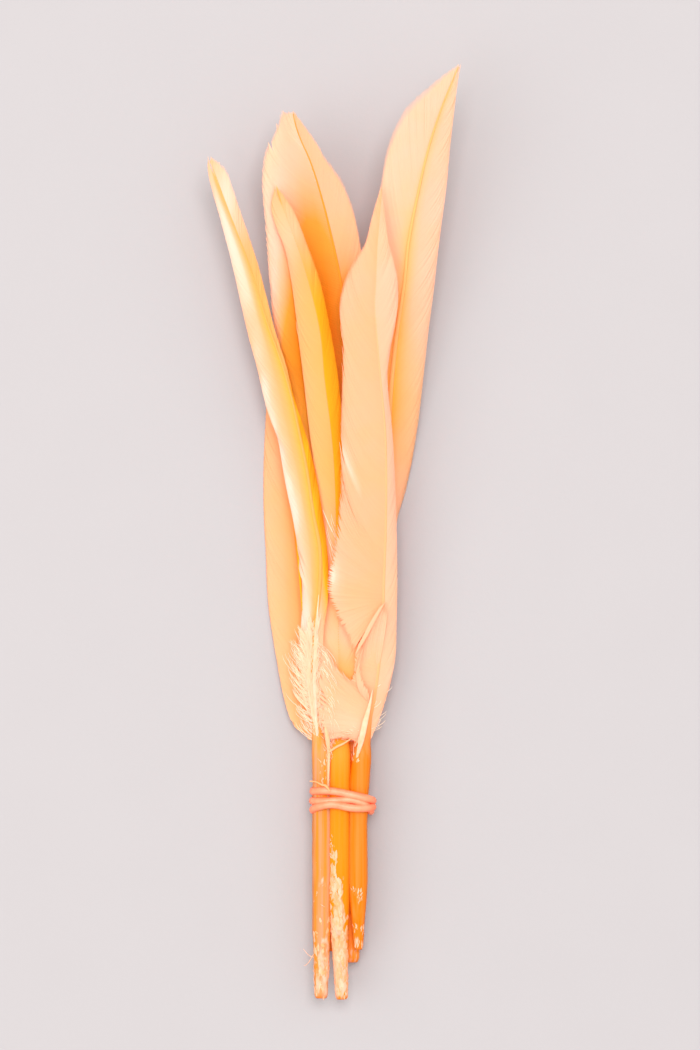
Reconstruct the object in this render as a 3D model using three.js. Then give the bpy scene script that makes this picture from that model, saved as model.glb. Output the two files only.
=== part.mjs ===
// Goose quill feather bundle: six feathers in two layers, quills side by side, held by a wound rubber band.
// Millimetres. +Y runs from the quill ends to the feather tips, +X to the right, +Z up from the surface below.
import * as THREE from 'three';

// The bundle's middle in X and Y, which becomes the origin.
const MIDDLE = [0.1, -0.35];

const VANE_THICKNESS = 0.5;      // at the rachis
const EDGE_THICKNESS = 0.3;      // at the outer edge of a vane
const BOW = 1.4;                 // how late a vane bends toward its edge height
const BLEND_LENGTH = 3;          // from round quill to vaned shaft
const RACHIS_TAPER = 0.86;       // share of the quill's radius lost by the tip
const QUILL_TIP_LENGTH = 3;      // the worn, narrowed end of each quill
const QUILL_TIP_CUT = 1.2;       // where that end is cut once more
const VANE_ROOT = 0.9;           // how far from the shaft's middle a vane leaves it, in radii
const LEAST_WIDTH = 0.1;         // the least vane width, for directions
const SLOPE_STEP = 0.02;         // the step that measures a vane's slope, as a share of its width

const STRAND_RADIUS = 0.6;       // rubber strand
const STRAND_SIDES = 8;
const TURNS = 3;
const TURN_RINGS = 44;
const LANE = 1.65;               // spacing of the three strands along the quills
const BAND_Y = -47.9;
const BAND_LEFT = -4.25;         // strand centre line round the quills
const BAND_RIGHT = 6.9;
const BAND_TOP = 8.25;
const BAND_CORNER = 2.1;
const CROSSING = [0.3, 0.7];     // the share of a turn over which it changes lanes
const CROSSING_LIFT = 1.3;       // the last turn climbs over the other two
const CLIMB = 5;                 // and is all the way up after one part in this many of its crossing

// Stations along each feather, from its quill end to its tip:
// [y, x, z of the shaft, width left, width right, left edge height, right edge height], heights from the shaft.
const FEATHERS = {
  feather_front_left: {
    radius: 1.4,
    vaneStart: -38,
    color: 0xf7c98c,
    stations: [
      [-83.2, -1.95, 5.6, 0, 0, 0, 0],
      [-60, -1.93, 5.8, 0, 0, 0, 0],
      [-48, -1.93, 5.85, 0, 0, 0, 0],
      [-38, -2.3, 5.85, 1.0, 1.0, 0, 0],
      [-35, -2.9, 5.85, 1.8, 1.6, 0, 0],
      [-28, -3.7, 6.0, 2.4, 2.0, -1.0, -0.4],
      [-19, -3.6, 6.4, 2.6, 2.3, -1.3, -0.4],
      [-10.5, -2.1, 6.6, 3.4, 0.7, -1.5, -0.2],
      [-3, -2.4, 6.7, 3.9, 0.5, -1.5, -0.2],
      [3.6, -3.6, 6.9, 3.8, 1.2, -1.6, -0.4],
      [11, -4.7, 7.3, 4.2, 1.2, -1.7, -0.5],
      [18.4, -6.2, 8.0, 4.0, 0.9, -1.7, -0.5],
      [24.3, -7.5, 8.6, 4.8, 0.5, -1.7, -0.4],
      [30, -9.1, 9.3, 4.5, 0.7, -1.7, -0.4],
      [37, -11.6, 10.1, 3.9, 1.1, -1.6, -0.5],
      [48, -15.1, 11.0, 2.9, 1.7, -1.1, -0.4],
      [56.5, -18.3, 11.6, 1.9, 2.1, -0.7, -0.3],
      [63.2, -20.8, 12.2, 1.2, 2.3, -0.4, -0.1],
      [65.2, -21.6, 12.4, 0.7, 2.0, -0.2, 0],
      [66.8, -22.1, 12.5, 0.3, 0.4, 0, 0],
    ],
  },
  feather_back_left: {
    radius: 1.25,
    vaneStart: -37,
    color: 0xf2a758,
    stations: [
      [-75, 0.8, 2.75, 0, 0, 0, 0],
      [-48, 0.9, 2.75, 0, 0, 0, 0],
      [-37, 0.9, 2.8, 1.0, 1.0, 0, 0],
      [-26, 0.9, 2.8, 2.0, 1.3, 0, 0],
      [-15.6, 0.9, 2.8, 3.5, 1.9, 0, 0],
      [-4.8, 1.4, 2.8, 5.2, 2.2, 0, 0],
      [6, 1.9, 3.1, 7.0, 2.0, 0, 0],
      [15, 2.3, 3.8, 8.2, 1.8, 0, 0],
      [23.8, 2.3, 4.8, 9.7, 2.2, 0.1, 0.2],
      [31, 2.2, 6.0, 11.0, 2.6, 0.2, 0.4],
      [38.6, 1.9, 7.5, 12.7, 3.2, 0.3, 0.6],
      [45, 1.3, 8.8, 12.7, 4.2, 0.4, 0.8],
      [55.6, -1.0, 10.8, 11.2, 5.0, 0.4, 0.8],
      [62.5, -2.9, 12.0, 9.8, 4.4, 0.4, 0.9],
      [66.8, -4.4, 12.7, 7.9, 2.8, 0.3, 0.8],
      [69.6, -5.7, 13.0, 5.5, 2.5, 0.3, 0.6],
      [72.4, -6.7, 13.5, 3.1, 1.5, 0.2, 0.3],
      [74.9, -7.2, 13.9, 1.7, 0.3, 0, 0],
    ],
  },
  feather_front_middle: {
    radius: 1.5,
    vaneStart: -37,
    color: 0xf5b770,
    stations: [
      [-83.4, 1.6, 5.7, 0, 0, 0, 0],
      [-60, 1.3, 5.85, 0, 0, 0, 0],
      [-48, 1.2, 5.85, 0, 0, 0, 0],
      [-37, 1.2, 5.85, 1.1, 1.1, 0, 0],
      [-30, 1.1, 5.8, 1.6, 1.6, 0, 0],
      [-24, 1.0, 5.8, 2.6, 3.4, -1.0, -0.2],
      [-15.6, 0.9, 6.0, 2.8, 3.4, -1.2, -0.2],
      [-9, 0.8, 6.0, 2.0, 2.6, -0.9, -0.3],
      [-4.8, 0.7, 6.0, 1.8, 1.8, -0.8, -0.5],
      [2.3, 0.5, 6.3, 2.5, 1.2, -1.0, -1.0],
      [11.3, 0.2, 7.3, 3.5, 1.1, -1.2, -1.4],
      [18.4, -0.4, 8.4, 3.9, 1.9, -1.6, -1.8],
      [27.3, -1.5, 9.7, 3.8, 2.3, -1.8, -2.0],
      [36.1, -2.4, 11.2, 4.0, 1.9, -2.0, -2.2],
      [45, -4.5, 12.6, 3.0, 2.1, -1.6, -1.6],
      [52.1, -6.8, 13.6, 2.2, 1.9, -1.0, -0.9],
      [57.7, -8.9, 14.3, 2.1, 1.6, -0.5, -0.3],
      [61.6, -10.2, 14.8, 0.3, 0.3, 0, 0],
    ],
  },
  feather_front_right: {
    radius: 1.5,
    vaneStart: -38,
    color: 0xf8cfa2,
    stations: [
      [-74.5, 4.6, 5.75, 0, 0, 0, 0],
      [-48, 4.45, 5.85, 0, 0, 0, 0],
      [-38, 5.3, 5.85, 0.9, 0.9, 0, 0],
      [-35, 6.1, 5.95, 6.2, 1.3, 3.2, 0],
      [-30, 7.2, 6.2, 9.0, 2.0, 3.4, -0.8],
      [-22.7, 8.2, 6.8, 9.1, 2.8, 2.4, -1.0],
      [-15.5, 8.8, 7.5, 9.4, 2.5, 1.6, -1.2],
      [-8.4, 9.0, 8.2, 9.9, 2.4, 0.9, -1.3],
      [0, 9.3, 9.1, 8.8, 2.0, 0.5, -1.3],
      [9.4, 9.4, 10.1, 8.1, 1.6, 0, -1.2],
      [18.3, 9.2, 11.1, 7.9, 1.3, -0.4, -1.1],
      [28.4, 8.3, 12.1, 6.7, 1.3, -0.8, -1.0],
      [34.5, 7.8, 12.8, 6.2, 2.5, -0.8, -1.4],
      [40.3, 7.4, 13.4, 6.3, 4.0, -0.8, -1.4],
      [44.4, 7.6, 13.7, 5.8, 3.9, -0.6, -1.2],
      [47.9, 7.75, 14.0, 4.4, 3.2, -0.3, -0.9],
      [51.3, 7.9, 14.2, 2.3, 2.1, -0.2, -0.6],
      [56.2, 8.3, 14.5, 1.4, 0.9, 0, -0.2],
      [61.4, 8.6, 14.8, 0.3, 0.3, 0, 0],
    ],
  },
  feather_back_right: {
    radius: 1.25,
    vaneStart: -37,
    color: 0xf8cb9b,
    stations: [
      [-77, 3.3, 2.75, 0, 0, 0, 0],
      [-48, 3.8, 2.75, 0, 0, 0, 0],
      [-37, 3.8, 2.8, 1.0, 1.0, 0, 0],
      [-22.8, 4.6, 2.8, 1.1, 2.6, 0, -0.2],
      [-13.8, 5.7, 2.7, 1.4, 3.6, 0, -0.8],
      [-4.8, 6.9, 2.6, 2.0, 3.8, 0, -1.4],
      [3.8, 8.2, 3.0, 2.9, 3.5, 0, -2.75],
      [9.5, 8.9, 3.6, 3.3, 4.4, 0, -3.3],
      [18.5, 9.8, 4.8, 3.9, 5.2, -0.2, -2.8],
      [26, 10.3, 6.2, 4.1, 5.6, -0.4, -2.6],
      [36.3, 11.4, 8.4, 5.0, 5.6, -0.6, -2.2],
      [44.2, 12.6, 10.3, 6.3, 5.4, -0.8, -1.9],
      [51.8, 13.4, 12.1, 7.0, 5.4, -1.0, -1.6],
      [61.9, 15.4, 14.3, 7.0, 4.7, -1.0, -1.2],
      [68.5, 17.0, 15.6, 7.3, 3.7, -0.8, -0.8],
      [74.7, 19.0, 17.2, 6.4, 2.4, -0.6, -0.5],
      [79.2, 20.8, 18.3, 3.5, 1.1, -0.4, -0.2],
      [82.7, 22.3, 19.0, 0.3, 0.3, 0, 0],
    ],
  },
  feather_under_left: {
    radius: 1.25,
    vaneStart: -37,
    color: 0xf6bf80,
    stations: [
      [-73, -1.9, 2.75, 0, 0, 0, 0],
      [-48, -2.0, 2.75, 0, 0, 0, 0],
      [-38, -2.1, 2.8, 1.0, 1.0, 0, 0],
      [-35.3, -2.6, 2.8, 3.8, 1.3, -0.4, 0],
      [-31, -3.3, 2.6, 5.2, 1.5, -1.0, 0],
      [-21, -4.4, 2.1, 6.1, 1.6, -1.3, 0],
      [-12, -5.2, 1.7, 6.6, 1.6, -1.3, 0],
      [-3, -6.4, 1.5, 5.8, 1.7, -1.3, 0],
      [2.3, -7.0, 1.4, 5.5, 1.7, -1.25, 0],
      [11.3, -8.3, 1.3, 4.3, 1.6, -1.15, 0],
      [22.7, -10.2, 1.0, 1.9, 1.8, -0.8, -0.1],
      [31, -10.3, 0.9, 1.1, 0.9, -0.3, -0.1],
      [34.7, -10.5, 0.9, 0.3, 0.3, 0, 0],
    ],
  },
};

const BAND_COLOR = 0xf08a5a;

// A smooth curve through the stations: cubic pieces whose slopes are those of the neighbouring stations.
function stationAt(stations, y) {
  let k = 0;
  while (k < stations.length - 2 && y > stations[k + 1][0]) k += 1;
  const [a, b] = [stations[k], stations[k + 1]];
  const before = stations[Math.max(k - 1, 0)];
  const after = stations[Math.min(k + 2, stations.length - 1)];
  const h = b[0] - a[0];
  const t = (y - a[0]) / h;
  const row = [y];
  for (let c = 1; c < a.length; c += 1) {
    const slopeA = (b[c] - before[c]) / (b[0] - before[0]);
    const slopeB = (after[c] - a[c]) / (after[0] - a[0]);
    const value = (2 * t ** 3 - 3 * t ** 2 + 1) * a[c] + (t ** 3 - 2 * t ** 2 + t) * h * slopeA
      + (3 * t ** 2 - 2 * t ** 3) * b[c] + (t ** 3 - t ** 2) * h * slopeB;
    row.push(value);
  }
  return row;
}

const RING_ANGLES = [170, 145, 118, 90, 62, 35, 10, -10, -35, -62, -90, -118, -145, -170];

// One side of a vane in a cross section: points where it leaves the shaft, half way out, and at its edge.
function vaneSide(width, rise, radius, sign) {
  const reach = Math.max(width, LEAST_WIDTH);
  const point = (s) => new THREE.Vector2(sign * reach * s, rise * s ** BOW);
  const length = Math.hypot(reach, rise);
  const start = Math.min(VANE_ROOT, radius * VANE_ROOT / length);
  return [start, 0.5 * (start + 1), 1].map((s, i) => {
    const along = point(s + SLOPE_STEP).sub(point(s - SLOPE_STEP)).normalize();
    const normal = new THREE.Vector2(-sign * along.y, sign * along.x);
    const half = [VANE_THICKNESS, 0.5 * (VANE_THICKNESS + EDGE_THICKNESS), EDGE_THICKNESS][i] / 2;
    const middle = point(s);
    return {
      upper: middle.clone().addScaledVector(normal, half),
      lower: middle.clone().addScaledVector(normal, -half),
    };
  });
}

// The cross section of a feather at one station: a round quill that opens into a shaft with a vane on each side.
function featherRing(feather, y) {
  const [, x, z, wl, wr, el, er] = stationAt(feather.stations, y);
  const first = feather.stations[0][0];
  const last = feather.stations[feather.stations.length - 1][0];
  const along = Math.max(0, (y - feather.vaneStart) / (last - feather.vaneStart));
  const worn = THREE.MathUtils.smoothstep(y - first, -QUILL_TIP_LENGTH, QUILL_TIP_LENGTH);
  const radius = feather.radius * (1 - RACHIS_TAPER * along) * worn;
  const blend = THREE.MathUtils.smoothstep(y, feather.vaneStart, feather.vaneStart + BLEND_LENGTH);
  const round = RING_ANGLES.map((degrees) => {
    const angle = THREE.MathUtils.degToRad(degrees);
    return new THREE.Vector2(radius * Math.cos(angle), radius * Math.sin(angle));
  });
  const left = vaneSide(wl, el, radius, -1);
  const right = vaneSide(wr, er, radius, 1);
  const tilt = Math.atan2(er, Math.max(wr, LEAST_WIDTH)) / 2 - Math.atan2(el, Math.max(wl, LEAST_WIDTH)) / 2;
  const top = new THREE.Vector2(-Math.sin(tilt), Math.cos(tilt)).multiplyScalar(radius);
  const vaned = [
    left[2].upper, left[1].upper, left[0].upper, top,
    right[0].upper, right[1].upper, right[2].upper,
    right[2].lower, right[1].lower, right[0].lower, top.clone().negate(),
    left[0].lower, left[1].lower, left[2].lower,
  ];
  return round.map((p, i) => {
    const q = p.clone().lerp(vaned[i], blend);
    return [x + q.x, y, z + q.y];
  });
}

// A closed skin over rings of equal length; open ends get a fan round their middle point.
function skin(rings, joined) {
  const size = rings[0].length;
  const positions = rings.flat();
  const faces = [];
  const spans = joined ? rings.length : rings.length - 1;
  for (let i = 0; i < spans; i += 1) {
    const next = (i + 1) % rings.length;
    for (let j = 0; j < size; j += 1) {
      const k = (j + 1) % size;
      const [a, b, c, d] = [i * size + j, i * size + k, next * size + k, next * size + j];
      faces.push([a, b, c], [a, c, d]);
    }
  }
  if (!joined) {
    for (const end of [0, rings.length - 1]) {
      const ring = rings[end];
      const middle = [0, 1, 2].map((axis) => ring.reduce((sum, p) => sum + p[axis], 0) / size);
      const centre = positions.push(middle) - 1;
      for (let j = 0; j < size; j += 1) {
        const [a, b] = [end * size + j, end * size + (j + 1) % size];
        faces.push(end === 0 ? [centre, b, a] : [centre, a, b]);
      }
    }
  }
  const geometry = new THREE.BufferGeometry();
  const moved = positions.map(([px, py, pz]) => [px - MIDDLE[0], py - MIDDLE[1], pz]);
  geometry.setAttribute('position', new THREE.Float32BufferAttribute(moved.flat(), 3));
  geometry.setIndex(faces.flat());
  geometry.computeVertexNormals();
  return geometry;
}

// The heights at which a feather is cut: its stations, and one more between each two of the vane.
function cutsOf(feather) {
  const rows = feather.stations.map((row) => row[0]);
  const first = rows[0];
  const cuts = [first, first + QUILL_TIP_CUT, first + QUILL_TIP_LENGTH];
  for (let k = 1; k < rows.length; k += 1) {
    if (rows[k - 1] >= feather.vaneStart) cuts.push((rows[k - 1] + rows[k]) / 2);
    cuts.push(rows[k]);
  }
  return cuts.sort((a, b) => a - b);
}

// The rounded rectangle that one turn of the band follows, from the bottom's middle round to the left: straight
// runs as [length, start, direction] and corner arcs as [length, centre, first angle].
const BAND_BOTTOM = STRAND_RADIUS * Math.cos(Math.PI / STRAND_SIDES);
const BAND_MIDDLE = (BAND_LEFT + BAND_RIGHT) / 2;
const FLAT_X = BAND_RIGHT - BAND_LEFT - 2 * BAND_CORNER;
const FLAT_Z = BAND_TOP - BAND_BOTTOM - 2 * BAND_CORNER;
const QUARTER = BAND_CORNER * Math.PI / 2;
const RUNS = [
  [FLAT_X / 2, [BAND_MIDDLE, BAND_BOTTOM], [-1, 0]],
  [QUARTER, [BAND_LEFT + BAND_CORNER, BAND_BOTTOM + BAND_CORNER], -Math.PI / 2],
  [FLAT_Z, [BAND_LEFT, BAND_BOTTOM + BAND_CORNER], [0, 1]],
  [QUARTER, [BAND_LEFT + BAND_CORNER, BAND_TOP - BAND_CORNER], Math.PI],
  [FLAT_X, [BAND_LEFT + BAND_CORNER, BAND_TOP], [1, 0]],
  [QUARTER, [BAND_RIGHT - BAND_CORNER, BAND_TOP - BAND_CORNER], Math.PI / 2],
  [FLAT_Z, [BAND_RIGHT, BAND_TOP - BAND_CORNER], [0, -1]],
  [QUARTER, [BAND_RIGHT - BAND_CORNER, BAND_BOTTOM + BAND_CORNER], 0],
  [FLAT_X / 2, [BAND_RIGHT - BAND_CORNER, BAND_BOTTOM], [-1, 0]],
];
const TURN_LENGTH = RUNS.reduce((sum, [length]) => sum + length, 0);

// A point on that rounded rectangle, less than one turn from its start, and the direction outward there.
function turnPoint(distance) {
  let left = distance;
  let k = 0;
  while (left > RUNS[k][0]) {
    left -= RUNS[k][0];
    k += 1;
  }
  const [, from, way] = RUNS[k];
  if (typeof way === 'number') {
    const angle = way - left / BAND_CORNER;
    const out = [Math.cos(angle), Math.sin(angle)];
    return { at: [from[0] + BAND_CORNER * out[0], from[1] + BAND_CORNER * out[1]], out };
  }
  return { at: [from[0] + way[0] * left, from[1] + way[1] * left], out: [-way[1], way[0]] };
}

// The turns side by side. Over the top each moves on by one lane, and the last crosses back over the others.
function bandRings() {
  const centres = [];
  for (let turn = 0; turn < TURNS; turn += 1) {
    const crosses = turn === TURNS - 1;
    for (let i = 0; i < TURN_RINGS; i += 1) {
      const share = i / TURN_RINGS;
      const { at, out } = turnPoint(share * TURN_LENGTH);
      const move = THREE.MathUtils.smoothstep(share, ...CROSSING);
      const lane = crosses ? (1 - 2 * move) * LANE : (turn - 1 + move) * LANE;
      const climb = Math.sin(Math.PI / 2 * Math.min(1, CLIMB * Math.min(move, 1 - move)));
      const lift = crosses ? CROSSING_LIFT * climb : 0;
      centres.push({
        at: new THREE.Vector3(at[0] + out[0] * lift, BAND_Y + lane, at[1] + out[1] * lift),
        out: new THREE.Vector3(out[0], 0, out[1]),
      });
    }
  }
  return centres.map(({ at, out }, i) => {
    const ahead = centres[(i + 1) % centres.length].at;
    const behind = centres[(i + centres.length - 1) % centres.length].at;
    const along = ahead.clone().sub(behind).normalize();
    const side = along.clone().cross(out).normalize();
    const normal = side.clone().cross(along).normalize();
    const ring = [];
    for (let j = 0; j < STRAND_SIDES; j += 1) {
      const angle = (j + 0.5) / STRAND_SIDES * 2 * Math.PI;
      const p = at.clone()
        .addScaledVector(normal, STRAND_RADIUS * Math.cos(angle))
        .addScaledVector(side, STRAND_RADIUS * Math.sin(angle));
      ring.push([p.x, p.y, Math.max(0, p.z)]);
    }
    return ring;
  });
}

const group = new THREE.Group();
group.name = 'goose_quill_feather_bundle';

for (const [name, feather] of Object.entries(FEATHERS)) {
  const rings = cutsOf(feather).map((y) => featherRing(feather, y));
  const material = new THREE.MeshStandardMaterial({ color: feather.color, roughness: 0.75, metalness: 0 });
  const mesh = new THREE.Mesh(skin(rings, false), material);
  mesh.name = name;
  group.add(mesh);
}

const bandMaterial = new THREE.MeshStandardMaterial({ color: BAND_COLOR, roughness: 0.6, metalness: 0 });
const band = new THREE.Mesh(skin(bandRings(), true), bandMaterial);
band.name = 'rubber_band';
group.add(band);

export default group;
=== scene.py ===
"""Goose quill feather bundle: six dyed feathers in two layers, their quills held by a wound rubber band.

Lengths in this script are millimetres; make_piece turns them into metres. +Y runs from the quill ends to the
feather tips, +X to the right and +Z up from the surface that the bundle lies on.
"""

import bpy
import numpy as np
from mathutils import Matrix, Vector


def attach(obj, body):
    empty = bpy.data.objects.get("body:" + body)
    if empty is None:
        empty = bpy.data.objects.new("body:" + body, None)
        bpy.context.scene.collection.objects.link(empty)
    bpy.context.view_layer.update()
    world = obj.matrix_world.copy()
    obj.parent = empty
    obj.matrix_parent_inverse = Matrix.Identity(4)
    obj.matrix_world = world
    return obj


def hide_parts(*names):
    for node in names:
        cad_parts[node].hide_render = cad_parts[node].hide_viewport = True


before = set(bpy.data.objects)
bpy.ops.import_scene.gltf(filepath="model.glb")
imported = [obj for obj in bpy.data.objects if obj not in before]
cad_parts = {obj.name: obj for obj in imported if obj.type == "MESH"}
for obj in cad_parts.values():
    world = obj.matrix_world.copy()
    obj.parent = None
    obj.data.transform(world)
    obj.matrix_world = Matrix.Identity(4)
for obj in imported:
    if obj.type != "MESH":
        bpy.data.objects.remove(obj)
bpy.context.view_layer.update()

MM = 0.001
MIDDLE = np.array([0.1, -0.35, 0.0])   # the bundle's middle, moved to the origin
UP = np.array([0.0, 0.0, 1.0])

# What a group of barbs takes where its own spec says nothing else.
BARBS = dict(
    out=1.5,                # powers of the curve from root to tip: sideways, forward and up
    ahead=1.25,
    bow=1.4,
    hump=([0, 1], [0, 0]),  # tip y, and how far a barb that ends there swells upward
    splits=(),              # tip y, opening, spread along y, and the share of the barb that stays closed
    uneven=0.0,             # largest share by which a barb falls short
    ragged=0.25,            # random shifts of the tips along y, x and z
    stray=0.0,
    lift=0.04,
    overlap=1.7,            # a barb's width over the distance to the next one
    widest=0.75,
    thickness=0.07,
    tilt=0.16,              # radians, each barb lies a little over the next
    flat=False,             # True turns the broad side of every barb up
    dye=0.3,                # depth of the dye, in places raised as painted shade; soft patches on it, many of which paint shade where they raise it and highlights where they lower it; and what is added close to the shaft
    patches=(),
    core=0.0,
    foot=0.4,               # the lowest barb tip above the feather's vane_start
    reach=3.5,              # a barb runs forward by reach + lean * width
    lean=1.5,
)
DOWN = dict(flat=True, widest=0.09, thickness=0.04, overlap=9, ragged=0.3, stray=0.2, lift=0.1)
BARB_SPACING = 0.46         # along the shaft
BARB_RINGS = 9
BARB_SIDES = 4
BARB_NARROWEST = 0.12
BARB_TAPER = ([0, 0.1, 0.75, 0.92, 1], [0.75, 1, 1, 0.7, 0.12])   # share of its length, share of its width
HUMP_LATE = 1.7             # above 1 a hump's highest place lies beyond the middle of the barb
SPLIT_LATE = 1.2
CORE_WIDTH = 1.3
TINT_WAVES = 12             # slow changes of tint along a vane
EDGE_STEPS = 500            # along the edge of a vane
VANE_NARROWEST = 0.15
TINY = 1e-6

SHAFT_SIDES = 24
SHAFT_SQUARENESS = 0.8      # power of the section's sines, 1 is a circle
TIP_LENGTH = 3.0            # finer rings at the quill's end, and how many
TIP_RINGS = 10
SHAFT_RINGS = 130
SHAFT_STOP = 0.6            # the shaft ends this far before the feather's tip
RACHIS_TAPER = 0.9
DROP_START, DROP_LENGTH = -3, 9     # from vane_start, where the quill thins into the rachis
TIP_ROUND, TIP_BLUNT = 0.7, 0.6     # length and least share of the rounding at the quill's end, squared
SHAFT_WAVES, WAVE_HEIGHT = 60, 0.02
END_ROUGHNESS = 0.252

FLAKE_OUTLINE = np.array([[0.45, 1, 0.9, 0.3]])
FLAKE_HALF_THICKNESS = 0.025
FLAKE_SIDES = 4
FLAKE_SHORTEST = 0.3                 # share of the longest
FLAKE_WIDTHS = (0.05, 0.16)          # half widths, as shares of the longest length
FLAKE_UNEVEN = (0.7, 1.3)            # random shares on the half widths along a flake
FLAKE_TWIST, FLAKE_CRINKLE = 0.12, 0.04   # radians round the quill, over its length and from ring to ring
FLAKE_GAP = (0.02, 0.10)             # off the quill at the low end
FLAKE_LIFT = 0.22                    # most that the other end is lifted further
THREAD_STEPS = 8            # rings for each row of a thread

# Each feather has its quill's radius, the y where the vane starts, the seed of its random draws, how slim
# the rachis is and how far it sinks under the vane, its worn end (length, share of the radius left) and
# whitish worn patches (x, y, width, length, strength). A station is y, x and z of the shaft, the vane's
# width left and right, and the heights of its left and right edge from the shaft. Stations run from the
# quill end to the tip.
FRONT_LEFT = dict(
    radius=1.68, vane_start=-37.0, seed=3, slim=0.28, sink=0.5,
    worn=(14, 0.7), wear=[(-1.9, -79, 3, 9, 0.45), (-1.9, -62.5, 1.2, 2, 0.4)],
    stations=[
        [-83.2, -2.2, 5.6, 0, 0, 0, 0],
        [-70, -2.05, 5.7, 0, 0, 0, 0],
        [-60, -2.0, 5.8, 0, 0, 0, 0],
        [-48, -2.0, 5.85, 0, 0, 0, 0],
        [-38, -2.3, 5.85, 1.0, 1.0, 0, 0],
        [-35, -2.9, 5.85, 1.6, 1.8, 0, 0.1],
        [-28, -3.7, 6.0, 2.4, 2.4, -1.0, 0],
        [-19, -3.6, 6.4, 2.4, 1.8, -1.3, 0],
        [-10.5, -2.5, 6.6, 3.0, 1.6, -1.5, 0],
        [-3, -2.4, 6.7, 3.9, 1.35, -1.5, -0.2],
        [3.6, -3.6, 6.9, 3.8, 1.7, -1.6, -0.4],
        [11, -4.7, 7.3, 4.2, 1.5, -1.7, -0.5],
        [18.4, -6.2, 8.0, 4.0, 1.1, -1.7, -0.5],
        [24.3, -7.5, 8.6, 4.8, 0.5, -1.7, -0.4],
        [30, -9.1, 9.3, 4.5, 0.7, -1.7, -0.4],
        [37, -11.6, 10.1, 3.9, 1.1, -1.6, -0.5],
        [48, -15.1, 11.0, 2.9, 1.7, -1.1, -0.4],
        [56.5, -18.3, 11.6, 1.9, 2.1, -0.7, -0.3],
        [63.2, -20.8, 12.2, 1.2, 2.3, -0.4, -0.1],
        [65.2, -21.6, 12.4, 0.7, 2.0, -0.2, 0],
        [66.8, -22.1, 12.5, 0.1, 0.4, 0, 0],
    ])
BACK_LEFT = dict(
    radius=1.5, vane_start=-37.0, seed=5, slim=0.42, sink=0.0,
    worn=(2, 0.9), wear=[],
    stations=[
        [-75, 0.3, 3.0, 0, 0, 0, 0],
        [-48, 0.4, 3.0, 0, 0, 0, 0],
        [-37, 0.9, 2.8, 1.0, 1.0, 0, 0],
        [-26, 0.9, 2.8, 2.0, 1.3, 0, 0],
        [-15.6, 0.9, 2.8, 3.5, 1.9, 0, 0],
        [-4.8, 1.4, 2.8, 5.2, 2.2, 0, 0],
        [6, 1.9, 3.1, 7.0, 2.0, 0, 0],
        [15, 2.3, 3.8, 8.2, 1.8, 0, 0],
        [23.8, 2.3, 4.8, 9.7, 2.2, 0.1, 0.2],
        [31, 2.2, 6.0, 11.0, 2.6, 0.2, 0.4],
        [38.6, 1.9, 7.5, 12.7, 3.2, 0.3, 0.6],
        [45, 1.3, 8.8, 12.7, 4.2, 0.4, 0.8],
        [55.6, -1.0, 10.8, 11.2, 5.0, 0.4, 0.8],
        [62.5, -2.9, 12.0, 9.8, 4.4, 0.4, 0.9],
        [66.8, -4.4, 12.7, 7.9, 2.8, 0.3, 0.8],
        [69.6, -5.7, 13.0, 5.5, 2.5, 0.3, 0.6],
        [72.4, -6.7, 13.5, 3.1, 1.5, 0.2, 0.3],
        [74.9, -7.2, 13.9, 1.7, 0.1, 0, 0],
    ])
FRONT_MIDDLE = dict(
    radius=1.95, vane_start=-37.0, seed=7, slim=0.25, sink=1.2,
    worn=(20, 0.55), wear=[(0.8, -70, 2, 9, 0.5), (1.2, -80, 3, 5, 0.5)],
    stations=[
        [-83.4, 1.5, 5.7, 0, 0, 0, 0],
        [-70, 1.1, 5.8, 0, 0, 0, 0],
        [-60, 1.05, 5.85, 0, 0, 0, 0],
        [-48, 1.1, 5.85, 0, 0, 0, 0],
        [-37, 1.2, 5.85, 1.1, 1.1, 0, 0],
        [-30, 1.1, 5.8, 1.6, 1.6, 0, 0],
        [-24, 1.0, 5.9, 3.8, 3.6, -0.8, -0.2],
        [-15.6, 0.9, 6.2, 3.9, 3.4, -0.9, -0.1],
        [-9, 0.8, 6.1, 2.0, 2.6, -0.8, -0.3],
        [-4.8, 0.7, 6.0, 1.8, 1.8, -0.8, -0.5],
        [2.3, 0.5, 6.3, 2.5, 1.3, -1.0, -0.8],
        [11.3, 0.2, 7.3, 3.5, 1.5, -1.2, -0.9],
        [18.4, -0.4, 8.4, 3.9, 2.1, -1.6, -1.2],
        [27.3, -1.5, 9.7, 3.8, 2.4, -1.8, -1.5],
        [36.1, -2.4, 11.2, 4.0, 1.9, -2.0, -1.8],
        [45, -4.5, 12.6, 3.0, 2.1, -1.6, -1.6],
        [52.1, -6.8, 13.6, 2.2, 1.9, -1.0, -0.9],
        [57.7, -8.9, 14.3, 2.1, 1.6, -0.5, -0.3],
        [61.6, -10.2, 14.8, 0.1, 0.1, 0, 0],
    ])
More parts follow.
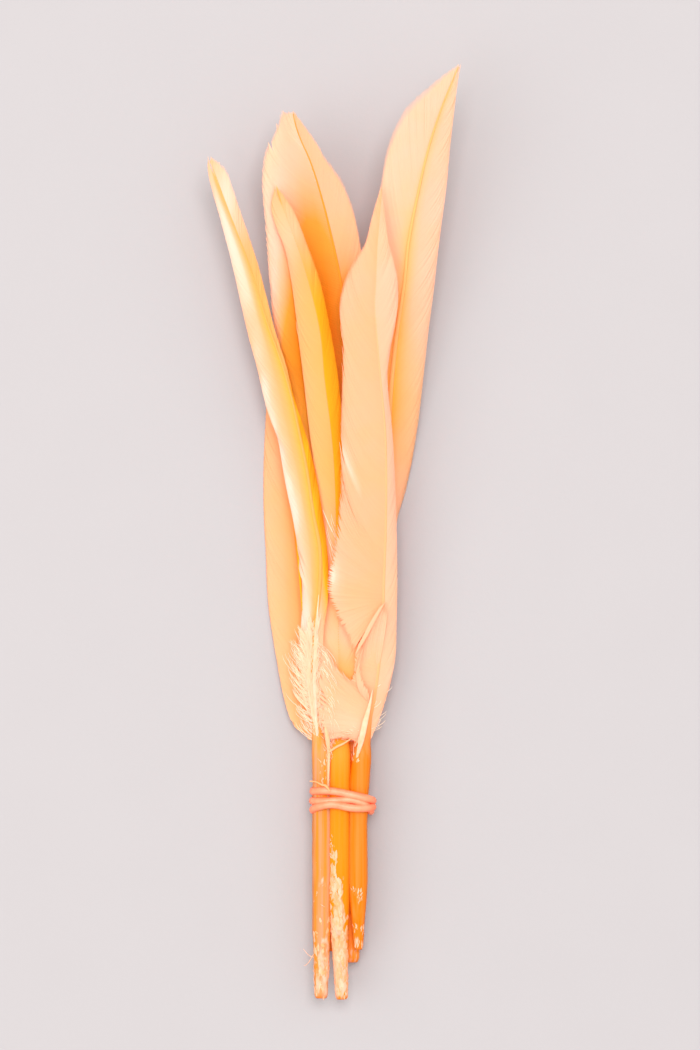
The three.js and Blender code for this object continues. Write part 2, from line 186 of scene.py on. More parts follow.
FRONT_RIGHT = dict(
    radius=1.76, vane_start=-38.0, seed=9, slim=0.23, sink=0.7,
    worn=(12, 0.45), wear=[(4.4, -64.5, 1.5, 2, 0.3), (4.4, -73, 3, 2, 0.3)],
    stations=[
        [-74.5, 4.5, 5.5, 0, 0, 0, 0],
        [-66, 4.4, 5.8, 0, 0, 0, 0],
        [-48, 4.45, 5.85, 0, 0, 0, 0],
        [-38, 5.3, 5.85, 0.9, 0.9, 0, 0],
        [-35, 6.1, 5.95, 6.2, 1.3, 3.2, 0],
        [-30, 7.2, 6.2, 9.0, 2.0, 3.4, -0.8],
        [-22.7, 8.2, 6.8, 9.1, 2.8, 2.4, -1.0],
        [-15.5, 8.8, 7.5, 9.4, 2.5, 1.6, -1.2],
        [-8.4, 9.0, 8.2, 9.9, 2.4, 0.9, -1.3],
        [0, 9.3, 9.1, 8.8, 2.0, 0.5, -1.3],
        [9.4, 9.4, 10.1, 8.1, 1.6, 0, -1.2],
        [18.3, 9.2, 11.1, 7.9, 1.3, -0.4, -1.1],
        [28.4, 8.3, 12.1, 6.7, 1.3, -0.8, -1.0],
        [34.5, 7.8, 12.8, 6.2, 2.5, -0.8, -1.4],
        [40.3, 7.4, 13.4, 6.3, 4.0, -0.8, -1.4],
        [44.4, 7.6, 13.7, 5.8, 3.9, -0.6, -1.2],
        [47.9, 7.75, 14.0, 4.4, 3.2, -0.3, -0.9],
        [51.3, 7.9, 14.2, 2.3, 2.1, -0.2, -0.6],
        [56.2, 8.3, 14.5, 1.4, 0.9, 0, -0.2],
        [61.4, 8.6, 14.8, 0.1, 0.1, 0, 0],
    ])
BACK_RIGHT = dict(
    radius=1.5, vane_start=-37.0, seed=13, slim=0.55, sink=0.1,
    worn=(2, 0.85), wear=[(3.3, -76, 3, 3, 0.4)],
    stations=[
        [-77, 3.3, 3.0, 0, 0, 0, 0],
        [-60, 3.05, 3.0, 0, 0, 0, 0],
        [-48, 3.05, 3.0, 0, 0, 0, 0],
        [-37, 3.4, 2.9, 1.0, 1.0, 0, 0],
        [-22.8, 4.6, 2.8, 1.1, 2.6, 0, -0.2],
        [-13.8, 5.7, 2.7, 1.4, 3.6, 0, -0.8],
        [-4.8, 6.9, 2.6, 2.0, 3.8, 0, -1.4],
        [3.8, 8.2, 3.0, 2.9, 3.5, 0, -2.75],
        [9.5, 8.9, 3.6, 3.3, 4.4, 0, -3.3],
        [18.5, 9.8, 4.8, 3.9, 5.2, -0.2, -2.8],
        [26, 10.3, 6.2, 4.1, 5.6, -0.4, -2.6],
        [36.3, 11.4, 8.4, 5.0, 5.6, -0.6, -2.2],
        [44.2, 12.6, 10.3, 6.3, 5.4, -0.8, -1.9],
        [51.8, 13.4, 12.1, 7.0, 5.4, -1.0, -1.6],
        [61.9, 15.4, 14.3, 7.0, 4.7, -1.0, -1.2],
        [68.5, 17.0, 15.6, 7.3, 3.7, -0.8, -0.8],
        [74.7, 19.0, 17.2, 6.4, 2.4, -0.6, -0.5],
        [79.2, 20.8, 18.3, 3.5, 1.1, -0.4, -0.2],
        [82.7, 22.3, 19.0, 0.1, 0.1, 0, 0],
    ])
UNDER_LEFT = dict(
    radius=1.5, vane_start=-37.0, seed=17, slim=0.5, sink=0.5,
    worn=(2, 0.9), wear=[],
    stations=[
        [-73, -2.3, 2.9, 0, 0, 0, 0],
        [-48, -2.3, 2.9, 0, 0, 0, 0],
        [-38, -2.1, 2.8, 1.0, 1.0, 0, 0],
        [-35.3, -2.6, 2.8, 3.8, 1.3, -0.4, 0],
        [-31, -3.3, 2.6, 5.2, 1.5, -1.0, 0],
        [-21, -4.4, 2.1, 6.1, 1.6, -1.3, 0],
        [-12, -5.2, 1.7, 6.6, 1.6, -1.3, 0],
        [-3, -6.4, 1.5, 5.8, 1.7, -1.3, 0],
        [2.3, -7.0, 1.4, 5.5, 1.7, -1.25, 0],
        [11.3, -8.3, 1.3, 4.3, 1.6, -1.15, 0],
        [22.7, -10.2, 1.0, 1.9, 1.8, -0.8, -0.1],
        [31, -10.3, 0.9, 1.1, 0.9, -0.3, -0.1],
        [34.7, -10.5, 0.9, 0.1, 0.1, 0, 0],
    ])


# ---------------------------------------------------------------- shapes

def unit(v):
    """v divided by its length, along the last axis."""
    return v / np.maximum(np.linalg.norm(v, axis=-1, keepdims=True), 1e-9)


def along_stations(stations, y):
    """The stations' columns at the given y: cubic pieces between two rows, with the slope at each row taken
    from the rows before and after it. Returns one array for each column after the first."""
    rows = np.array(stations, float)
    ys = rows[:, 0]
    slopes = np.empty_like(rows)
    slopes[1:-1] = (rows[2:] - rows[:-2]) / (ys[2:] - ys[:-2])[:, None]
    slopes[0] = (rows[1] - rows[0]) / (ys[1] - ys[0])
    slopes[-1] = (rows[-1] - rows[-2]) / (ys[-1] - ys[-2])
    y = np.clip(np.asarray(y, float), ys[0], ys[-1])
    k = np.clip(np.searchsorted(ys, y, side="right") - 1, 0, len(ys) - 2)
    h = (ys[k + 1] - ys[k])[..., None]
    t = (y - ys[k])[..., None] / h
    out = ((2 * t**3 - 3 * t**2 + 1) * rows[k] + (t**3 - 2 * t**2 + t) * h * slopes[k]
           + (3 * t**2 - 2 * t**3) * rows[k + 1] + (t**3 - t**2) * h * slopes[k + 1])
    return np.moveaxis(out[..., 1:], -1, 0)


def along_rows(rows, count):
    """The columns of listed rows at count even steps from the first row to the last."""
    table = np.column_stack([np.arange(len(rows)), rows])
    return along_stations(table, np.linspace(0, len(rows) - 1, count))


def shaft_places(feather, y):
    """Points on the middle line of the shaft at heights y."""
    x, z = along_stations(feather["stations"], y)[:2]
    return np.stack([x, y, z], -1)


def upright(centres):
    """The sideways and the upward direction across centre lines of shape (line, point, 3)."""
    tangent = unit(np.gradient(centres, axis=1))
    normal = unit(UP - (tangent @ UP)[..., None] * tangent)
    return np.cross(normal, tangent), normal


def strands(centres, wide, thick, sides, power=1.0):
    """Closed tubes round many centre lines at once. centres, wide and thick are (tube, ring, 3); the
    section is centre + c wide + s thick, where c and s are cos(a) and sin(a) raised to a power and keep
    their signs: 1 gives an ellipse and less than 1 a squarer section. wide x thick points along the tube.
    Returns the points and three blocks of faces: the walls, the first caps and the last caps."""
    count, rings = centres.shape[:2]
    a = np.arange(sides) * 2 * np.pi / sides
    c, s = [np.sign(w) * np.abs(w) ** power for w in (np.cos(a), np.sin(a))]
    points = (centres[:, :, None, :] + c[None, None, :, None] * wide[:, :, None, :]
              + s[None, None, :, None] * thick[:, :, None, :])
    ring = np.arange(rings - 1)[:, None] * sides
    j = np.arange(sides)[None, :]
    k = (j + 1) % sides
    wall = np.stack([ring + j, ring + k, ring + sides + k, ring + sides + j], -1).reshape(-1, 4)
    first = np.arange(sides)[::-1]
    last = (rings - 1) * sides + np.arange(sides)
    step = np.arange(count)[:, None] * rings * sides
    walls = (wall[None] + step[:, None]).reshape(-1, 4)
    return points.reshape(-1, 3), [walls, first[None] + step, last[None] + step]


def join(parts):
    """One set of points, face blocks and attribute values out of several (points, blocks, values) parts."""
    points, blocks, values, shift = [], [], [], 0
    for part_points, part_blocks, part_values in parts:
        points.append(part_points)
        blocks += [block + shift for block in part_blocks]
        values.append(part_values)
        shift += len(part_points)
    return np.concatenate(points), blocks, np.concatenate(values)


def make_piece(name, points, blocks, values, material, slot, node, smooth=False):
    """A mesh object from points in millimetres and blocks of faces, riding on the bundle. The columns of
    values are its attributes: across is the share of a barb's length, along the share of the feather's,
    tint differs from strand to strand, and depth is the depth of dye or wear, which on the vanes also
    carries painted shade and painted highlights."""
    mesh = bpy.data.meshes.new(name)
    faces = [face for block in blocks for face in block.tolist()]
    mesh.from_pydata(((points - MIDDLE) * MM).tolist(), [], faces)
    for column, title in enumerate(("across", "along", "tint", "depth")):
        layer = mesh.attributes.new(title, "FLOAT", "POINT")
        layer.data.foreach_set("value", np.ascontiguousarray(values[:, column], np.float32))
    mesh.polygons.foreach_set("use_smooth", np.full(len(mesh.polygons), smooth))
    mesh.materials.append(material)
    mesh.update()
    piece = bpy.data.objects.new(name, mesh)
    bpy.context.scene.collection.objects.link(piece)
    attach(piece, "root")
    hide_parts(node)


def soft_patches(points, base, patches):
    """A value from 0 to 1 at each point: base plus soft round patches (x, y, width, length, strength), each
    strength * exp(-(dx / width)^2 - (dy / length)^2)."""
    total = np.full(len(points), base)
    for x, y, width, length, strength in patches:
        total += strength * np.exp(-((points[:, 0] - x) / width) ** 2 - ((points[:, 1] - y) / length) ** 2)
    return np.clip(total, 0, 1)


def gap_to_next(centres):
    """The step from each point of a barb to the next barb, less its part along the barb."""
    tangent = unit(np.gradient(centres, axis=1))
    step = np.gradient(centres, axis=0)
    return step - (step * tangent).sum(-1, keepdims=True) * tangent


def barbs(roots, tips, spec, rng, bulge=0):
    """Flat tapered barbs from roots to tips, both (barb, 3), with the values of BARBS where spec has none.
    Each follows the curve root + (tip - root) * (sideways 1 - (1 - t)^out, forward t^ahead, height t^bow),
    so that it leaves the shaft sideways and bends forward, plus hump * sin(pi t^1.7) of height, less bulge
    * sin(pi t) to the left. Its width is a little more than the distance to the next barb. A split pushes
    the barbs on both sides of one place apart, more toward their tips."""
    spec = {**BARBS, **spec}
    n = len(roots)
    t = np.linspace(0, 1, BARB_RINGS)[None, :, None]
    share = t[:, :, 0]
    cropped = 1 - spec["uneven"] * rng.random(n) ** 2
    step = ((tips - roots) * cropped[:, None])[:, None, :]
    curve = np.broadcast_arrays(1 - (1 - t) ** spec["out"], t ** spec["ahead"], t ** spec["bow"])
    centres = roots[:, None, :] + step * np.concatenate(curve, -1)
    hump = np.interp(tips[:, 1], *spec["hump"])[:, None]
    centres[:, :, 2] += hump * np.sin(np.pi * share ** HUMP_LATE)
    centres[:, :, 0] -= np.reshape(bulge, (-1, 1)) * np.sin(np.pi * share)
    for place, opening, spread, closed in spec["splits"]:
        away = (tips[:, 1] - place)[:, None]
        push = np.sign(away) * np.exp(-np.abs(away) / spread) * opening / 2
        push = push * np.clip((share - closed) / (1 - closed), 0, 1) ** SPLIT_LATE
        centres += push[..., None] * unit(gap_to_next(centres))
    wave = np.cumsum(rng.normal(0, 1, n))
    wave -= np.linspace(wave[0], wave[-1], n)
    wave /= max(np.abs(wave).max(), TINY)
    ragged = spec["ragged"]
    centres[:, :, 1] += (ragged * wave + 0.25 * ragged * rng.normal(0, 1, n))[:, None] * share ** 2
    centres[:, :, 0] += (spec["stray"] * rng.normal(0, 1, n))[:, None] * share ** 2
    centres[:, :, 2] += spec["lift"] * rng.normal(0, 1, n)[:, None] * share
    tangent = unit(np.gradient(centres, axis=1))
    gap = gap_to_next(centres)
    facing = UP - (tangent @ UP)[..., None] * tangent if spec["flat"] else np.cross(gap, tangent)
    normal = unit(facing) * np.where(facing[..., 2:] < 0, -1, 1)
    side = np.cross(normal, tangent)
    width = np.clip(spec["overlap"] * np.linalg.norm(gap, axis=-1), BARB_NARROWEST, spec["widest"])
    half = 0.5 * width[..., None] * np.interp(share[0], *BARB_TAPER)[None, :, None]
    turn = spec["tilt"]
    wide = half * (np.cos(turn) * side + np.sin(turn) * normal)
    thick = 0.5 * spec["thickness"] * (np.cos(turn) * normal - np.sin(turn) * side)
    points, faces = strands(centres, wide, thick, BARB_SIDES)
    tint = rng.random(n)
    waves = np.interp(np.arange(n), np.linspace(0, n - 1, TINT_WAVES), rng.random(TINT_WAVES))
    tint = 0.5 * tint + 0.5 * waves
    y = roots[:, 1]
    along = (y - y.min()) / max(np.ptp(y), TINY)
    size = (n, BARB_RINGS, BARB_SIDES)
    depth = soft_patches(points, spec["dye"], spec["patches"]).reshape(size)
    from_shaft = np.linalg.norm(centres - roots[:, None], axis=-1)[..., None]
    depth = depth + spec["core"] * np.exp(-(from_shaft / CORE_WIDTH) ** 2)
    columns = np.broadcast_to(t, size), along[:, None, None], tint[:, None, None], depth
    values = np.stack([np.broadcast_to(column, size) for column in columns], -1).reshape(-1, 4)
    return points, faces, values


def fan(feather, rows, count, spec, rng):
    """Barbs whose roots sit on the shaft and whose tips follow listed rows of root y, tip x, tip y,
    tip z and bulge to the left, joined smoothly."""
    root_y, x, y, z, bulge = along_rows(rows, count)
    return barbs(shaft_places(feather, root_y), np.stack([x, y, z], -1), spec, rng, bulge)


def down(feather, start, end, count, reach, spread, rng):
    """Loose downy strands from the shaft between two heights y. Each ends at its root + reach * a random
    share + a random scatter of the size spread."""
    roots = shaft_places(feather, np.sort(rng.uniform(start, end, count)))
    tips = roots + np.array(reach) * rng.uniform(0.25, 1, (count, 1)) + rng.normal(0, spread, (count, 3))
    return barbs(roots, tips, DOWN, rng)


def vane_side(feather, sign, spec, rng):
    """The barbs on one side of a feather. A barb that ends at edge height y starts further back on the
    shaft by a reach that grows with the width there and shrinks to nothing at the vane's foot."""
    stations = feather["stations"]
    spec = {**BARBS, **spec}
    start, tip = feather["vane_start"], stations[-1][0]
    edge_y = np.linspace(start + spec["foot"], tip, EDGE_STEPS)
    x, z, width_left, width_right, rise_left, rise_right = along_stations(stations, edge_y)
    width, rise = (width_left, rise_left) if sign < 0 else (width_right, rise_right)
    width = np.maximum(width, VANE_NARROWEST)
    longest = spec["reach"] + spec["lean"] * width
    root_y = np.maximum.accumulate(edge_y - longest * (1 - np.exp(-(edge_y - start) / longest)))
    root_y += np.linspace(0, 100 * TINY, len(root_y))
    count = int((root_y[-1] - root_y[0]) / BARB_SPACING)
    roots_y = np.linspace(root_y[0], root_y[-1], count)
    tips_y = np.interp(roots_y, root_y, edge_y)
    tips_x = np.interp(tips_y, edge_y, x + sign * width)
    tips_z = np.interp(tips_y, edge_y, z + rise)
    return barbs(shaft_places(feather, roots_y), np.stack([tips_x, tips_y, tips_z], -1), spec, rng)


def worn_share(feather, y):
    """The share of its radius that a quill keeps at heights y: it narrows evenly toward its worn end."""
    worn, narrow = feather["worn"]
    return 1 - (1 - narrow) * np.clip(1 - (y - feather["stations"][0][0]) / worn, 0, 1)


def shaft(feather, rng):
    """The round quill and the rachis that carries the vanes: sections of radius r(y) along the stations'
    curve. r is the quill's radius, narrower over the last "worn" millimetres and rounded at the end; it
    shrinks to the "slim" share of itself at the vane's foot and falls evenly from there to the tip, with
    faint random waves."""
    stations = feather["stations"]
    first, last, start = stations[0][0], stations[-1][0], feather["vane_start"]
    y = np.concatenate([first + TIP_LENGTH * np.linspace(0, 1, TIP_RINGS) ** 2,
                        np.linspace(first + TIP_LENGTH, last - SHAFT_STOP, SHAFT_RINGS)[1:]])
    up_vane = np.clip((y - start) / (last - start), 0, 1)
    drop = np.clip((y - start - DROP_START) / DROP_LENGTH, 0, 1)
    drop = drop * drop * (3 - 2 * drop)
    radius = feather["radius"] * (1 - (1 - feather["slim"]) * drop) * (1 - RACHIS_TAPER * up_vane)
    radius = radius * worn_share(feather, y)
    radius = radius * np.sqrt(np.clip((y - first) / TIP_ROUND, 0, 1) * (1 - TIP_BLUNT) + TIP_BLUNT)
    waves = np.interp(y, np.linspace(first, last, SHAFT_WAVES), rng.normal(0, 1, SHAFT_WAVES))
    radius *= 1 + WAVE_HEIGHT * waves
    centres = shaft_places(feather, y)[None]
    centres[0, :, 2] -= feather["sink"] * radius * drop
    side, normal = upright(centres)
    radius = radius[None, :, None]
    points, faces = strands(centres, radius * side, radius * normal, SHAFT_SIDES, SHAFT_SQUARENESS)
    points[:SHAFT_SIDES, 1] += END_ROUGHNESS * np.abs(rng.normal(0, 1, SHAFT_SIDES))
    along = np.broadcast_to(((y - first) / (last - first))[:, None], (len(y), SHAFT_SIDES))
    wear = soft_patches(points, 0.0, feather["wear"]).reshape(len(y), SHAFT_SIDES)
    none = np.zeros_like(wear)
    return points, faces, np.stack([none, along, none, wear], -1).reshape(-1, 4)


def flakes(feather, zones, rng):
    """Thin dry flakes of sheath lying on a quill. A zone is (y, half length, angle from the top toward +X,
    half angle, count, longest): each flake starts at a random place in it, runs along the quill, turns a
    little and lifts off at one end."""
    parts = []
    rings = FLAKE_OUTLINE.shape[1]
    t = np.linspace(0, 1, rings)[None]
    for middle, half_length, angle, half_angle, count, longest in zones:
        y = middle + half_length * rng.uniform(-1, 1, count)
        a = np.radians(angle + half_angle * rng.uniform(-1, 1, count))
        length = longest * rng.uniform(FLAKE_SHORTEST, 1, count)
        at = y[:, None] + length[:, None] * (t - 0.5)
        turn = a[:, None] + rng.normal(0, FLAKE_TWIST, count)[:, None] * t
        turn = turn + rng.normal(0, FLAKE_CRINKLE, (count, rings))
        rise = rng.uniform(*FLAKE_GAP, count)[:, None] + rng.uniform(0, FLAKE_LIFT, count)[:, None] * t ** 2
        radius = feather["radius"] * worn_share(feather, at) + rise
        out = np.stack([np.sin(turn), 0 * turn, np.cos(turn)], -1)
        sideways = np.stack([np.cos(turn), 0 * turn, -np.sin(turn)], -1)
        centres = shaft_places(feather, at) + radius[..., None] * out
        half = (longest * rng.uniform(*FLAKE_WIDTHS, count))[:, None] * FLAKE_OUTLINE
        half = half * rng.uniform(*FLAKE_UNEVEN, (count, rings))
        points, faces = strands(centres, half[..., None] * sideways, FLAKE_HALF_THICKNESS * out, FLAKE_SIDES)
        tint = np.repeat(rng.random(count), rings * FLAKE_SIDES)
        parts.append((points, faces, np.stack([0 * tint, 0 * tint, tint, 0 * tint], -1)))
    return join(parts)


def thread(rows, rng, sides=6, dye=0.0):
    """One closed strand through listed rows of x, y, z, half width and half height, joined smoothly,
    with one depth of dye all over."""
    x, y, z, half_wide, half_thick = along_rows(rows, THREAD_STEPS * len(rows))
    centres = np.stack([x, y, z], -1)[None]
    side, normal = upright(centres)
    wide, thick = half_wide[None, :, None] * side, half_thick[None, :, None] * normal
    points, faces = strands(centres, wide, thick, sides)
    tint = np.full(len(points), rng.random())
    return points, faces, np.stack([0 * tint, 0 * tint, tint, 0 * tint + dye], -1)


# The rubber band's strand runs round a rounded rectangle across the quills. Each turn lies up the quills
# from BAND_PLACE by its row of BAND_TURNS: at the left side, one and two thirds of the way over the top,
# and at the right side. BAND_LIFTS says how far it is lifted off the quills there.
BAND_PLACE = -47.7
BAND_TURNS = [[1.5, 1.7, 0.9, -0.2], [-0.2, -0.1, 0.0, -2.0], [-1.9, -0.7, -1.35, -1.25]]
BAND_LIFTS = [[0.0, 0.0, 0.25, 0.35], [0.1, -0.05, -0.1, 0.0], [0.0, 0.4, 0.45, 0.3]]
BAND_TOP_SHARES = [0.28, 0.43, 0.57, 0.72]   # the shares of a turn at which those four places lie
BAND_RADIUS = 0.68
BAND_SIDES = 14
BAND_STEPS = 110         # for each turn
BAND_LEFT, BAND_RIGHT, BAND_BOTTOM, BAND_TOP, BAND_CORNER = -3.6, 6.7, BAND_RADIUS, 8.1, 2.2
CORNER_POINTS = 9


def band_path():
    """Three turns of a rubber strand round the quills on a rounded rectangle. Each turn follows its own row
    of BAND_TURNS over the top and moves on to the next turn's start under the quills. Returns centres and
    outward directions."""
    left, right = BAND_LEFT + BAND_CORNER, BAND_RIGHT - BAND_CORNER
    bottom, top = BAND_BOTTOM + BAND_CORNER, BAND_TOP - BAND_CORNER
    corners = np.array([[left, bottom], [left, top], [right, top], [right, bottom]])
    bends = ((-90, -180), (180, 90), (90, 0), (0, -90))
    angle = np.radians(np.concatenate([np.linspace(a, b, CORNER_POINTS) for a, b in bends]))
    out = np.stack([np.cos(angle), np.sin(angle)], -1)
    loop = np.repeat(corners, CORNER_POINTS, axis=0) + BAND_CORNER * out
    start = np.array([[(BAND_LEFT + BAND_RIGHT) / 2, BAND_BOTTOM]])
    loop = np.concatenate([start, loop, start])
    out = np.concatenate([[[0, -1]], out, [[0, -1]]])
    gone = np.concatenate([[0], np.cumsum(np.linalg.norm(np.diff(loop, axis=0), axis=1))])
    share = np.arange(BAND_STEPS) / BAND_STEPS
    at = np.stack([np.interp(share * gone[-1], gone, loop[:, c]) for c in (0, 1)], -1)
    way = unit(np.stack([np.interp(share * gone[-1], gone, out[:, c]) for c in (0, 1)], -1))
    centres, outward = [], []
    for turn, (first, second, third, fourth) in enumerate(BAND_TURNS):
        before = BAND_TURNS[turn - 1][-1]
        after = BAND_TURNS[(turn + 1) % len(BAND_TURNS)][0]
        knots = np.column_stack([
            [-0.18, 0, 0.1, *BAND_TOP_SHARES, 0.9, 1, 1.18],
            [before, 0.5 * (before + first), first, first, second, third, fourth,
             fourth, 0.5 * (fourth + after), after]])
        y, = along_stations(knots, share)
        lift = np.interp(share, [0.2, *BAND_TOP_SHARES, 0.8], [0, *BAND_LIFTS[turn], 0])
        xz = at + way * lift[:, None]
        centres.append(np.stack([xz[:, 0], BAND_PLACE + y, xz[:, 1]], -1))
        outward.append(np.stack([way[:, 0], 0 * y, way[:, 1]], -1))
    return np.concatenate(centres), np.concatenate(outward)


def band_shape():
    """The closed strand along band_path: a ring of BAND_SIDES points round each centre, flat where it meets
    the floor."""
    centres, outward = band_path()
    tangent = unit(np.roll(centres, -1, axis=0) - np.roll(centres, 1, axis=0))
    side = unit(np.cross(tangent, outward))
    normal = np.cross(side, tangent)
    a = (np.arange(BAND_SIDES) + 0.5) * 2 * np.pi / BAND_SIDES
    ring = np.cos(a)[None, :, None] * normal[:, None] + np.sin(a)[None, :, None] * side[:, None]
    points = centres[:, None] + BAND_RADIUS * ring
    points[..., 2] = np.maximum(points[..., 2], 0)
    n = len(centres)
    i, j = np.arange(n)[:, None] * BAND_SIDES, np.arange(BAND_SIDES)[None]
    k, m = (j + 1) % BAND_SIDES, (i + BAND_SIDES) % (n * BAND_SIDES)
    faces = np.stack([i + j, m + j, m + k, i + k], -1).reshape(-1, 4)
    return points.reshape(-1, 3), [faces], np.zeros((n * BAND_SIDES, 4))


# ---------------------------------------------------------------- materials

# Colours that a vane's depth runs through. The cream and white stand for washed-out dye and also for painted
# highlights, and the cream also marks worn quill. The gold and rust stand for deep dye and also for painted
# shade. The orange is painted shade only, in the gaps and folds between feathers.
WHITE_PALE_AND_HIGHLIGHT = (0.99, 0.86, 0.76)
CREAM_PALE_AND_HIGHLIGHT = (0.99, 0.72, 0.54)
GOLD_DYE_AND_SHADE = (0.98, 0.56, 0.02)
RUST_DYE_AND_SHADE = (0.87, 0.40, 0.05)
PAINTED_SHADE_ORANGE = (0.84, 0.26, 0.002)
CUT_END = (0.85, 0.24, 0.02)


def new_material(name):
    """An empty node material; returns it with helpers that add a node and link two sockets."""
    material = bpy.data.materials.new(name)
    material.use_nodes = True
    tree = material.node_tree
    tree.nodes.clear()

    def add(kind, **settings):
        node = tree.nodes.new("ShaderNode" + kind)
        for key, value in settings.items():
            setattr(node, key, value)
        return node

    return material, add, tree.links.new


def attribute(add, name):
    """The grey output that reads one of the mesh's attributes."""
    return add("Attribute", attribute_name=name).outputs["Fac"]


def noise(add, link, scale, detail=2, stretch=(1, 1, 1)):
    """Cloudy noise in Object coordinates in metres, squeezed along the axes. Returns its grey output."""
    coords, mapping, texture = add("TexCoord"), add("Mapping"), add("TexNoise")
    mapping.inputs["Scale"].default_value = stretch
    texture.inputs["Scale"].default_value = scale
    texture.inputs["Detail"].default_value = detail
    link(coords.outputs["Object"], mapping.inputs["Vector"])
    link(mapping.outputs["Vector"], texture.inputs["Vector"])
    return texture.outputs["Fac"]


def mix_colors(add, link, factor, a, b, blend="MIX"):
    """A colour mix node. Each of factor, a and b is a value or a socket. Returns the colour it gives."""
    node = add("Mix", data_type="RGBA", blend_type=blend, clamp_factor=True)
    for socket, value in ((node.inputs[0], factor), (node.inputs[6], a), (node.inputs[7], b)):
        if isinstance(value, bpy.types.NodeSocket):
            link(value, socket)
        elif isinstance(value, tuple):
            socket.default_value = (*value, 1)
        else:
            socket.default_value = value
    return node.outputs[2]


def ramp(add, link, source, *stops):
    """A grey ramp from (position, value) stops. Returns its colour output."""
    node = add("ValToRGB")
    elements = node.color_ramp.elements
    while len(elements) < len(stops):
        elements.new(0.5)
    for element, (position, value) in zip(elements, stops):
        element.position = position
        element.color = (value, value, value, 1)
    link(source, node.inputs[0])
    return node.outputs[0]


def surface(add, link, color, roughness, specular=0.5, grain=None, behind=None):
    """The surface of one colour. grain is (height, strength, distance) of a bump. behind is (colour, share)
    of the light that comes through from the other side."""
    out = add("OutputMaterial")
    front = add("BsdfPrincipled")
    link(color, front.inputs["Base Color"])
    front.inputs["Roughness"].default_value = roughness
    front.inputs["Specular IOR Level"].default_value = specular
    if grain:
        height, strength, distance = grain
        bump = add("Bump")
        bump.inputs["Strength"].default_value = strength
        bump.inputs["Distance"].default_value = distance
        link(height, bump.inputs["Height"])
        link(bump.outputs[0], front.inputs["Normal"])
    shader = front
    if behind:
        through, share = behind
        back = add("BsdfTranslucent")
        link(through, back.inputs["Color"])
        shader = add("MixShader")
        shader.inputs[0].default_value = share
        link(front.outputs[0], shader.inputs[1])
        link(back.outputs[0], shader.inputs[2])
    link(shader.outputs[0], out.inputs["Surface"])


def vane_material(name, near, edge, through, golden_dye_and_shade=GOLD_DYE_AND_SHADE):
    """Dyed vane: one colour near the shaft and a paler one toward the barb tips, cream and then white where
    the dye washed out and where highlights are painted, golden where it is deep and where shade is painted,
    orange only where shade is painted, soft blotches, faint differences from barb to barb, and light coming
    through from behind."""
    material, add, link = new_material(name)
    depth = attribute(add, "depth")
    outward = ramp(add, link, attribute(add, "across"), (0.0, 0.0), (0.9, 0.85), (1.0, 1.0))
    color = mix_colors(add, link, outward, near, edge)
    for dye, low, high in ((CREAM_PALE_AND_HIGHLIGHT, (0.1, 1.0), (0.3, 0.0)), (WHITE_PALE_AND_HIGHLIGHT, (0.0, 1.0), (0.14, 0.0)),
                           (golden_dye_and_shade, (0.3, 0.0), (0.65, 1.0)), (PAINTED_SHADE_ORANGE, (0.65, 0.0), (1.0, 1.0))):
        color = mix_colors(add, link, ramp(add, link, depth, low, high), color, dye)
    blotches = ramp(add, link, noise(add, link, 120, 3), (0.4, 0.0), (0.7, 0.12))
    color = mix_colors(add, link, blotches, color, GOLD_DYE_AND_SHADE)
    barb = ramp(add, link, attribute(add, "tint"), (0.0, 0.95), (1.0, 1.0))
    color = mix_colors(add, link, 1.0, color, barb, "MULTIPLY")
    deep = mix_colors(add, link, 0.6, color, through, "MULTIPLY")
    surface(add, link, color, 0.55, 0.1, behind=(deep, 0.46))
    return material


def quill_material(name, base, pale, rachis, foot, streaky):
    """Dyed horn: saturated in the bare quill with paler streaks along it, whitish where it is worn, darker
    at the cut end, and the rachis colour from the share foot of the length on."""
    material, add, link = new_material(name)
    along = attribute(add, "along")
    streaks = noise(add, link, 1, 4, (1400, 30, 1400))
    color = mix_colors(add, link, ramp(add, link, streaks, (0.38, 0.0), (0.6, streaky)), base, pale)
    worn = add("Math", operation="ADD")
    link(noise(add, link, 1, 4, (1500, 420, 1500)), worn.inputs[0])
    link(attribute(add, "depth"), worn.inputs[1])
    whitish = ramp(add, link, worn.outputs[0], (0.82, 0.0), (1.0, 0.9))
    color = mix_colors(add, link, whitish, color, CREAM_PALE_AND_HIGHLIGHT)
    color = mix_colors(add, link, ramp(add, link, along, (0.0, 0.9), (0.006, 0.0)), color, CUT_END)
    color = mix_colors(add, link, ramp(add, link, along, (foot, 0.0), (foot + 0.1, 1.0)), color, rachis)
    surface(add, link, color, 0.42, 0.12, grain=(streaks, 0.25, 0.0002), behind=(color, 0.5))
    return material


def sheath_material(name, dry, stained, through):
    """Dry flaky sheath and down: pale, stained by the dye from piece to piece and in fine clouds."""
    material, add, link = new_material(name)
    color = mix_colors(add, link, attribute(add, "tint"), dry, stained)
    clouds = ramp(add, link, noise(add, link, 900), (0.4, 0.0), (0.7, 0.4))
    color = mix_colors(add, link, clouds, color, stained)
    surface(add, link, color, 0.7, behind=(color, through))
    return material


def rubber_material(name, base, worn):
    """Matte rubber with a faint bloom and fine grain."""
    material, add, link = new_material(name)
    bloom = noise(add, link, 420, 3)
    color = mix_colors(add, link, ramp(add, link, bloom, (0.4, 0.0), (0.65, 1.0)), base, worn)
    surface(add, link, color, 0.5, grain=(bloom, 0.2, 0.0001))
    return material


def paper_material(name, color_a, color_b):
    """Pale matte paper with a faint cloud and grain."""
    material, add, link = new_material(name)
    color = mix_colors(add, link, noise(add, link, 60, 6), color_a, color_b)
    surface(add, link, color, 0.9, 0.1, grain=(noise(add, link, 900), 0.15, 0.0002))
    return material


# ---------------------------------------------------------------- the feathers

